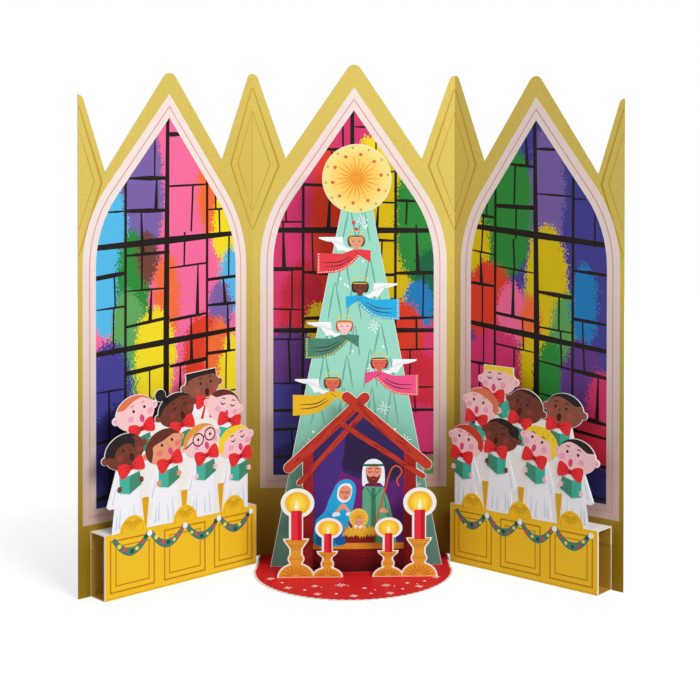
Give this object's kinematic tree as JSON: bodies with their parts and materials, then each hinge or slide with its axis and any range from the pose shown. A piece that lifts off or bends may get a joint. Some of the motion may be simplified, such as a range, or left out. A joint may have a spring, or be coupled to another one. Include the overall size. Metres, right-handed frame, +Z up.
{
  "type": "greeting card",
  "caption": "Free-standing pop-up card: three-panel folded backdrop with die-cut gables, a half-round floor and layered paper figures on struts and folded pews.",
  "frame": {"origin": "on the table, under the middle of the standing card's bounding box", "axes": "+X to the viewer's right across the card, +Y to the back, +Z up"},
  "size_m": [0.2452, 0.0748, 0.2499],
  "materials": {
    "backdrop_card": "pearly gold ink on smooth card, printed windows",
    "floor_card": "satin printed card, white scalloped rim",
    "tree_card": "satin printed card",
    "stable_card": "satin printed card",
    "candle_card": "satin printed card with a white border",
    "pew_card": "satin gold print, white on top",
    "singer_card": "satin printed card",
    "white_card": "smooth uncoated white card"
  },
  "bodies": {
    "root": {"backdrop": "backdrop_card", "floor": "floor_card", "tree": "tree_card", "stable": "stable_card", "left_candles": "candle_card", "right_candles": "candle_card", "left_pew_box": "pew_card", "right_pew_box": "pew_card", "left_singers": "singer_card", "right_singers": "singer_card", "tree_strut": "white_card", "star_strut": "white_card", "stable_strut": "white_card", "left_candle_strut": "white_card", "right_candle_strut": "white_card"}
  },
  "joints": []
}
